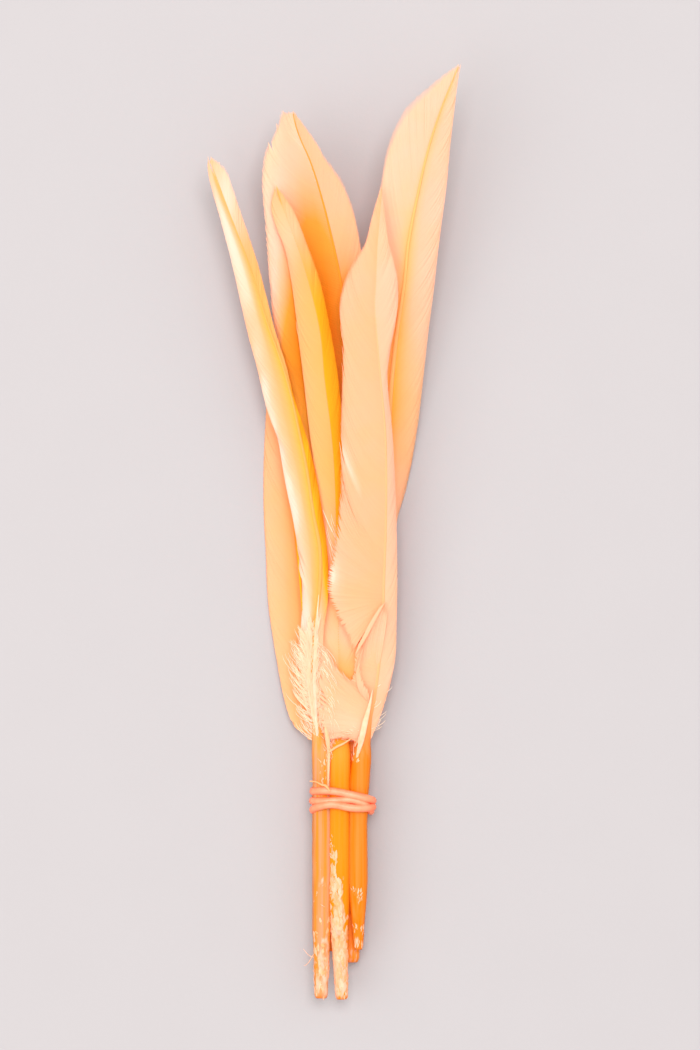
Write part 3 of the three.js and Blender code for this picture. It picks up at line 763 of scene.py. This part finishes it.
def make_feather(node, feather, vane, quill, left, right, more=()):
    """A feather as two pieces: its shaft, and the barbs of both sides with any further groups of barbs.
    left and right are their specs. A further group is a function of the random generator."""
    rng = np.random.default_rng(feather["seed"])
    make_piece(node + "_shaft", *shaft(feather, rng), quill, "quill", node, smooth=True)
    groups = [vane_side(feather, -1, left, rng), vane_side(feather, 1, right, rng)]
    groups += [group(rng) for group in more]
    make_piece(node + "_vane", *join(groups), vane, "feather", node)


PEACH = vane_material("vane_peach", (0.99, 0.55, 0.30), (0.99, 0.60, 0.38), (1.0, 0.75, 0.45))
BLUSH = vane_material("vane_blush", (0.99, 0.635, 0.45), (0.99, 0.685, 0.53), (1.0, 0.75, 0.45), RUST_DYE_AND_SHADE)
CREAM = vane_material("vane_cream", (0.99, 0.635, 0.44), (0.99, 0.685, 0.51), (1.0, 0.8, 0.4))
GOLDEN = vane_material("vane_golden", (0.99, 0.53, 0.20), (0.99, 0.60, 0.32), (1.0, 0.75, 0.4))
HORN_LEFT = quill_material("quill_horn_left", (0.84, 0.35, 0.03), (0.78, 0.44, 0.24),
                           (0.99, 0.53, 0.14), 0.27, 0.9)
HORN_MIDDLE = quill_material("quill_horn_middle", (0.98, 0.36, 0.001), (0.98, 0.42, 0.04),
                             (0.99, 0.50, 0.08), 0.27, 0.5)
HORN_RIGHT = quill_material("quill_horn_right", (0.88, 0.27, 0.001), (0.84, 0.38, 0.07),
                            (0.99, 0.58, 0.28), 0.25, 0.6)
HORN_SOFT = quill_material("quill_horn_soft", (0.97, 0.32, 0.008), (0.98, 0.5, 0.2),
                           (0.99, 0.60, 0.22), 0.27, 0.4)
HORN_UNDER = quill_material("quill_horn_under", (0.97, 0.32, 0.008), (0.98, 0.5, 0.2),
                            (0.99, 0.42, 0.04), 0.27, 0.4)
DRY = sheath_material("dry_sheath", (0.95, 0.64, 0.44), (0.95, 0.45, 0.17), 0.35)
FLUFF = sheath_material("pale_down", (0.99, 0.90, 0.78), (0.99, 0.82, 0.64), 0.6)

# Patches are x, y, width, length and strength. Rows of a fan are root y, tip x, tip y, tip z and bulge.
# Rows of a thread are x, y, z, half width and half height.
# The raised patch on the under left feather's left vane, next to its shaft where the front left feather lies
# over it, is painted shade from that feather.
make_feather("feather_under_left", UNDER_LEFT, GOLDEN, HORN_UNDER,
             dict(dye=0.27, patches=[(-5.5, 2, 2.2, 24, 0.16)]), dict(dye=0.5))

BLUNT_TIP = [
    [62.0, -10.1, 72.6, 13.4, 0],
    [65.5, -9.5, 74.0, 13.8, 0],
    [68.0, -9.0, 74.7, 13.9, 0],
    [70.5, -8.4, 74.5, 13.9, 0],
    [72.5, -7.8, 74.8, 13.9, 0],
    [73.8, -7.3, 74.6, 13.9, 0],
]
# Painted shade on the back left feather: the raised patches on both vanes deepen the dye to gold and orange
# in its hollow, which the feathers above shade, and where it shows through the gaps between them lower down.
# The lowered patch near its outer left edge is a painted highlight on the rim that curls up to the light.
make_feather("feather_back_left", BACK_LEFT, BLUSH, HORN_UNDER,
             dict(lean=0.9, uneven=0.012, ragged=0.14, splits=[(69.5, 0.5, 1.5, 0.4)],
                  hump=([-5, 10, 22, 36, 55, 68, 74], [0, 1.2, 1.8, 1.6, 1.9, 1.2, 0]),
                  patches=[(-1.5, 34, 4.6, 18, 0.74), (-4.8, 50, 3.6, 12, 0.3), (-7.6, 31, 3.2, 11, 0.38),
                           (-3.5, 12, 5, 12, 0.12), (-13, 52, 2.6, 16, -0.2), (0, -14, 9, 14, 0.5)]),
             dict(dye=0.41, patches=[(2, 34, 2.8, 12, 0.5), (3, 8, 9, 16, 0.3), (3, -18, 9, 14, 0.5)]),
             [lambda rng: fan(BACK_LEFT, BLUNT_TIP, 26, dict(uneven=0.1, ragged=0.4, dye=0.24), rng)])

# Painted shade on the back right feather: a golden band along its shaft, where the vanes dip to it, and
# golden shade over the lower part of its right vane; core adds more of this painted shade close to the shaft.
PAINTED_GOLD_SHADE = [(10.3, 24, 2.0, 9, 0.14), (11.6, 38, 1.9, 9, 0.13), (13.2, 51, 1.6, 8, 0.09),
             (13, 18, 5, 18, 0.12)]
make_feather("feather_back_right", BACK_RIGHT, CREAM, HORN_SOFT,
             dict(lean=2.2, core=0.1, patches=PAINTED_GOLD_SHADE), dict(core=0.12, patches=PAINTED_GOLD_SHADE))

# Painted highlight: a paler streak along the lit left edge of the front left feather's left vane, down to its
# foot.
PAINTED_EDGE_HIGHLIGHT = [(-13.6, 32, 1.2, 4, -0.14), (-12.3, 25, 1.1, 4, -0.24), (-11.0, 19, 1.1, 4, -0.24),
             (-9.6, 13, 1.2, 4, -0.25), (-8.3, 8, 1.2, 3.5, -0.25), (-7.0, 3, 1.2, 4, -0.22),
             (-6.0, -4, 1.1, 5, -0.12), (-5.4, -10, 1.1, 5, -0.14)]
# Painted shade: a deep orange band along the right edge of the front left feather's right vane, in the shaded
# gap beside the front middle feather.
PAINTED_FOLD_SHADE = [(-1.0, -7, 0.9, 8, 0.55), (-2.0, 4, 1.1, 7, 0.5), (-3.5, 12, 1.1, 6, 0.45),
               (-5.3, 19, 1.0, 5, 0.35), (-7.0, 25, 0.9, 5, 0.25)]
# Two thin deep orange threads are painted shade: the first runs along the left edge of the front left
# feather, where it shades the feather below, and the second along the dark slit inside its left vane.
PAINTED_EDGE_SHADOW = [[-6.5, 3.0, 5.2, 0.04, 0.04], [-6.5, -1.0, 5.2, 0.14, 0.05], [-6.0, -8.0, 5.1, 0.16, 0.05],
             [-5.6, -13.0, 5.1, 0.12, 0.05], [-5.3, -16.0, 5.2, 0.04, 0.04]]
PAINTED_SLIT_SHADE = [[-5.2, -6.5, 5.45, 0.04, 0.04], [-4.9, -10.0, 5.55, 0.1, 0.05],
             [-4.6, -13.0, 5.65, 0.13, 0.05], [-4.1, -15.6, 5.8, 0.06, 0.04]]
# The right vane's deeper dye (0.44 against 0.28 on the left) is partly painted shade, on the side that slopes
# away from the light.
make_feather("feather_front_left", FRONT_LEFT, GOLDEN, HORN_LEFT,
             dict(foot=17.0, core=0.28, dye=0.28, splits=[(-3.0, 1.5, 0.9, 0.1), (-9.0, 1.2, 1.2, 0.1)],
                  patches=[(-18, 56, 5, 16, -0.24), (-15, 44, 3, 7, -0.1), *PAINTED_EDGE_HIGHLIGHT,
                           (-4, -17, 4, 6, -0.2)]),
             dict(dye=0.44, patches=[(-19, 60, 5, 14, -0.34), *PAINTED_FOLD_SHADE,
                                     (-2, -12, 4, 8, -0.24), (-2, -24, 4, 7, -0.26)]),
             [lambda rng: thread(PAINTED_EDGE_SHADOW, rng, dye=0.7), lambda rng: thread(PAINTED_SLIT_SHADE, rng, dye=0.75)])

# The right vane's deep golden dye is painted shade, on the side that slopes away from the light; the lowered
# patches keep it paler at the top and at the foot.
make_feather("feather_front_middle", FRONT_MIDDLE, GOLDEN, HORN_MIDDLE,
             dict(dye=0.36, splits=[(38.0, 0.9, 1.0, 0.5)],
                  patches=[(-8, 54, 4, 9, -0.16), (0, -19, 5, 7, -0.14), (-1.3, -1, 1.6, 6, -0.14)]),
             dict(dye=0.68, splits=[(1.5, 0.5, 1.2, 0.4)],
                  patches=[(2, -18, 5, 10, -0.5), (-8, 54, 5, 12, -0.46)]))

# Painted highlight: a narrow pale wedge on the front right feather's left vane, where a group of barbs turns
# up to the light.
PAINTED_WEDGE_HIGHLIGHT = [(1.6, 15.2, 0.6, 1.3, -0.22), (2.4, 13.0, 0.6, 1.4, -0.22), (3.2, 10.9, 0.5, 1.3, -0.2),
              (4.0, 9.0, 0.4, 1.2, -0.15)]
UPPER_FAN = [
    [-13.2, 3.5, -21.0, 7.9, 0],
    [-13.0, 2.3, -18.5, 8.0, 0],
    [-12.7, 1.0, -15.9, 8.1, 0],
    [-12.1, -0.2, -13.0, 8.2, 0],
    [-11.4, -1.1, -10.2, 8.3, 0],
    [-10.5, -1.0, -8.0, 8.4, 0],
    [-9.4, -0.4, -4.8, 8.6, 0],
    [-8.4, 0.3, -0.9, 8.9, 0],
    [-7.3, 0.8, 3.2, 9.3, 0],
    [-6.2, 1.2, 8.0, 9.8, 0],
    [-4.8, 1.3, 12.0, 10.15, 0],
    [-3.4, 1.3, 13.9, 10.35, 0],
    [-2.9, 1.3, 14.5, 10.4, 0],
]
UPPER_COUNT = 110
# The fan's lower barbs run straighter than its upper ones.
CURVING = np.interp(np.arange(UPPER_COUNT), [45, 100], [0, 1])[:, None, None]
UPPER_SPEC = dict(uneven=0.05, ragged=0.3, out=1.12 + 0.38 * CURVING, ahead=1.08 + 0.17 * CURVING,
                  patches=[*PAINTED_WEDGE_HIGHLIGHT, (-0.3, -7.5, 1.2, 3, -0.26)])
LOWER_FAN = [
    [-38.0, 3.6, -36.6, 7.9, 0],
    [-37.0, 1.8, -36.2, 8.2, 0],
    [-36.0, -0.4, -36.7, 8.0, 0],
    [-35.0, -2.1, -35.6, 7.4, 0],
    [-34.0, -2.6, -32.6, 7.0, 0],
    [-33.0, -2.8, -28.6, 6.8, 0],
    [-32.0, -2.6, -24.1, 6.7, 0],
    [-30.9, -2.6, -20.9, 6.7, 0],
    [-29.8, -2.2, -19.6, 6.7, 0],
    [-28.8, -0.1, -23.4, 6.7, 0],
    [-28.0, 2.3, -25.7, 6.9, 0],
    [-27.0, 3.4, -25.6, 7.1, 0],
    [-25.0, 3.6, -23.0, 7.2, 0],
    [-22.0, 4.0, -20.5, 7.3, 0],
    [-18.0, 5.5, -17.5, 7.6, 0],
    [-16.0, 7.0, -15.6, 7.8, 0],
    [-14.4, 8.4, -14.0, 8.0, 0],
]
LOWER_COUNT = 150
LOWER_SPEC = dict(dye=0.25, uneven=0.12, ragged=0.4, bow=0.5, patches=[(3.5, -34, 4, 3, -0.08)])
TUFT = [
    [-30.7, 6.2, -28.4, 7.6, 0.3],
    [-30.4, 4.9, -24.8, 8.0, 1.2],
    [-29.8, 5.4, -20.4, 8.3, 1.9],
    [-28.9, 6.8, -16.0, 8.4, 1.9],
    [-27.7, 8.5, -12.7, 8.4, 1.5],
    [-26.2, 9.2, -12.6, 8.4, 1.0],
    [-24.8, 9.6, -13.7, 8.4, 0.3],
]
TUFT_COUNT = 46
TUFT_EDGE = [[9.2, -12.4, 8.5, 0.04, 0.04], [8.3, -13.6, 8.7, 0.24, 0.06], [6.9, -16.0, 8.75, 0.36, 0.08],
             [5.6, -18.5, 8.7, 0.36, 0.08], [4.6, -20.3, 8.55, 0.26, 0.07], [3.9, -21.8, 8.3, 0.04, 0.04]]
make_feather("feather_front_right", FRONT_RIGHT, PEACH, HORN_RIGHT,
             dict(lean=2.15, reach=0.5, foot=51.4, patches=PAINTED_WEDGE_HIGHLIGHT,
                  splits=[(37.0, 0.5, 0.5, 0.5), (33.5, 0.45, 0.4, 0.6), (30.5, 0.4, 0.4, 0.6),
                          (16.4, 0.5, 0.8, 0.5)]),
             dict(dye=0.2),
             [lambda rng: fan(FRONT_RIGHT, UPPER_FAN, UPPER_COUNT, UPPER_SPEC, rng),
              lambda rng: fan(FRONT_RIGHT, LOWER_FAN, LOWER_COUNT, LOWER_SPEC, rng),
              lambda rng: fan(FRONT_RIGHT, TUFT, TUFT_COUNT, dict(dye=0.22, uneven=0.04), rng),
              lambda rng: thread(TUFT_EDGE, rng, 10, 0.2)])

# ---------------------------------------------------------------- down, sheath and band

LOOSE = dict(down=(FLUFF, "feather"), sheath=(DRY, "sheath"))


def make_loose(node, kind, *parts):
    """The down or the dry sheath of one feather as a piece of its own."""
    material, slot = LOOSE[kind]
    make_piece(f"{node}_{kind}", *join(parts), material, slot, node)


rng = np.random.default_rng(31)
make_loose(
    "feather_front_left", "down",
    down(FRONT_LEFT, -38, -21, 200, (-3.7, 3.5, -2.3), 0.5, rng),
    down(FRONT_LEFT, -33, -23, 80, (-4.4, 5.0, -2.8), 0.6, rng),
    down(FRONT_LEFT, -39, -17, 420, (-0.9, 3.2, 1.0), 0.3, rng),
    down(FRONT_LEFT, -27, -19, 200, (-2.4, 3.6, -0.6), 0.4, rng),
    down(FRONT_LEFT, -31, -19, 90, (4.2, -5.0, 1.1), 0.35, rng),
    down(FRONT_LEFT, -39, -17, 300, (0.9, 3.6, 1.2), 0.25, rng),
    down(FRONT_LEFT, -39, -17, 300, (-0.9, 3.6, 1.25), 0.25, rng),
    thread([[-2.6, -11, 6.8, 0.04, 0.04], [-2.9, -15, 6.75, 0.16, 0.1], [-3.2, -20, 6.55, 0.3, 0.12],
            [-3.4, -26, 6.4, 0.32, 0.12], [-3.2, -32, 6.4, 0.3, 0.12], [-2.8, -37, 6.8, 0.22, 0.1],
            [-2.7, -40, 7.1, 0.04, 0.04]], rng, 12))
make_loose(
    "feather_front_right", "down",
    down(FRONT_RIGHT, -36, -27, 44, (3.0, 2.2, -1.2), 0.4, rng),
    down(FRONT_RIGHT, -37.6, -35, 26, (-5.0, 0.6, 2.4), 0.2, rng))
make_loose(
    "feather_front_middle", "down",
    down(FRONT_MIDDLE, -42, -37, 90, (-2.3, 3.0, 2.4), 0.4, rng),
    thread([[-5.6, 38.6, 10.6, 0.1, 0.05], [-6.3, 39.6, 10.4, 0.14, 0.05],
            [-6.9, 41.0, 10.3, 0.03, 0.03]], rng),
    thread([[-5.2, 37.6, 10.6, 0.1, 0.05], [-5.8, 38.3, 10.4, 0.12, 0.05],
            [-6.4, 39.2, 10.3, 0.03, 0.03]], rng),
    thread([[-0.2, 0.2, 6.9, 0.05, 0.04], [-1.0, 2.0, 7.0, 0.08, 0.04],
            [-1.9, 4.2, 7.1, 0.03, 0.03]], rng),
    down(FRONT_MIDDLE, -9, 3, 12, (-1.6, 4.4, 0.5), 0.15, rng))
make_loose(
    "feather_front_left", "sheath",
    flakes(FRONT_LEFT, [(-74, 5, -10, 50, 26, 1.8), (-79.5, 3.5, 0, 70, 50, 1.4), (-63, 4, -10, 50, 10, 0.8),
                        (-42.5, 3, 20, 50, 16, 1.2)], rng),
    thread([[-4.2, -44.3, 7.3, 0.1, 0.08], [-3.1, -44.4, 7.9, 0.14, 0.12], [-2.0, -44.9, 8.4, 0.18, 0.14],
            [-1.3, -45.1, 8.7, 0.24, 0.16], [-0.6, -46.0, 8.9, 0.1, 0.08]], rng),
    thread([[-1.0, -45.6, 7.2, 0.15, 0.1], [-0.9, -42.6, 7.3, 0.22, 0.1], [-0.8, -39.1, 7.3, 0.3, 0.1],
            [-1.1, -36.4, 8.1, 0.4, 0.14], [-1.5, -34.4, 8.1, 0.12, 0.08]], rng),
    thread([[-3.1, -76.0, 5.8, 0.06, 0.06], [-4.4, -75.5, 5.6, 0.05, 0.05],
            [-5.4, -74.4, 5.2, 0.03, 0.03]], rng),
    thread([[-3.1, -74.6, 5.8, 0.06, 0.06], [-4.5, -76.9, 5.4, 0.05, 0.05],
            [-5.3, -77.5, 5.0, 0.03, 0.03]], rng))
make_loose(
    "feather_front_middle", "sheath",
    flakes(FRONT_MIDDLE, [(-56, 1.8, -42, 8, 16, 1.6), (-60, 3, -30, 14, 36, 2.1), (-66, 4, -20, 28, 90, 2.4),
                          (-72, 4, -8, 50, 110, 2.4), (-77, 4, 0, 64, 70, 1.9), (-80.5, 2.4, 0, 70, 40, 1.3)],
           rng),
    thread([[-0.8, -39.1, 7.6, 0.2, 0.1], [0.5, -38.2, 7.8, 0.2, 0.1], [1.9, -37.5, 7.8, 0.18, 0.1],
            [3.3, -36.6, 7.7, 0.1, 0.08]], rng))
make_loose(
    "feather_front_right", "sheath",
    flakes(FRONT_RIGHT, [(-64.5, 1.4, 0, 35, 14, 1.1), (-72, 2.0, 10, 60, 16, 1.1),
                         (-39, 2, -40, 30, 14, 1.8)], rng),
    thread([[7.0, -28.0, 7.1, 0.06, 0.05], [6.4, -31.0, 7.2, 0.28, 0.12], [5.7, -33.7, 7.3, 0.5, 0.2],
            [5.0, -36.9, 7.3, 0.5, 0.2], [4.3, -39.8, 7.3, 0.25, 0.12], [3.9, -42.3, 7.2, 0.06, 0.05]],
           rng, 12))

RUBBER = rubber_material("rubber_orange_pink", (0.96, 0.21, 0.095), (0.96, 0.28, 0.15))
make_piece("rubber_band_wound", *band_shape(), RUBBER, "rubber", "rubber_band", smooth=True)

# ---------------------------------------------------------------- floor, light and camera, in metres

FLOOR_HALF = 2
LIGHTS = [("key_left", (-1.0, -0.2, 1.3), 1.6, 16), ("fill_right", (1.0, 0.4, 1.4), 1.6, 4.5),
          ("overhead", (0.1, 0.4, 1.9), 0.9, 32)]
SKY_COLOR, SKY_STRENGTH = (1, 0.99, 0.98, 1), 0.84
CAMERA_PLACE = (0.00287, 0.00179, 0.9)
CAMERA_LENS, SENSOR_WIDTH = 171.43, 36

PAPER = paper_material("pale_paper", (0.375, 0.350, 0.353), (0.385, 0.360, 0.363))
floor_mesh = bpy.data.meshes.new("paper_floor")
floor_corners = [(FLOOR_HALF * x, FLOOR_HALF * y, 0) for x, y in ((-1, -1), (1, -1), (1, 1), (-1, 1))]
floor_mesh.from_pydata(floor_corners, [], [(0, 1, 2, 3)])
floor_mesh.materials.append(PAPER)
floor = bpy.data.objects.new("paper_floor", floor_mesh)
scene = bpy.context.scene
scene.collection.objects.link(floor)


def soft_light(name, place, size, power):
    """A square area light at a place in metres, aimed at the bundle."""
    light = bpy.data.lights.new(name, "AREA")
    light.shape = "SQUARE"
    light.size = size
    light.energy = power
    lamp = bpy.data.objects.new(name, light)
    lamp.location = place
    lamp.rotation_mode = "QUATERNION"
    lamp.rotation_quaternion = Vector(place).to_track_quat("Z", "Y")
    scene.collection.objects.link(lamp)


for settings in LIGHTS:
    soft_light(*settings)
world = bpy.data.worlds.new("studio")
world.use_nodes = True
sky = world.node_tree.nodes["Background"]
sky.inputs["Color"].default_value = SKY_COLOR
sky.inputs["Strength"].default_value = SKY_STRENGTH
scene.world = world

camera_data = bpy.data.cameras.new("camera")
camera_data.lens = CAMERA_LENS
camera_data.sensor_width = SENSOR_WIDTH
camera_data.clip_end = 10
camera = bpy.data.objects.new("camera", camera_data)
camera.location = CAMERA_PLACE
scene.collection.objects.link(camera)
scene.camera = camera

scene.view_settings.view_transform = "Standard"
scene.cycles.max_bounces = 16
scene.cycles.diffuse_bounces = 12
scene.cycles.transmission_bounces = 16
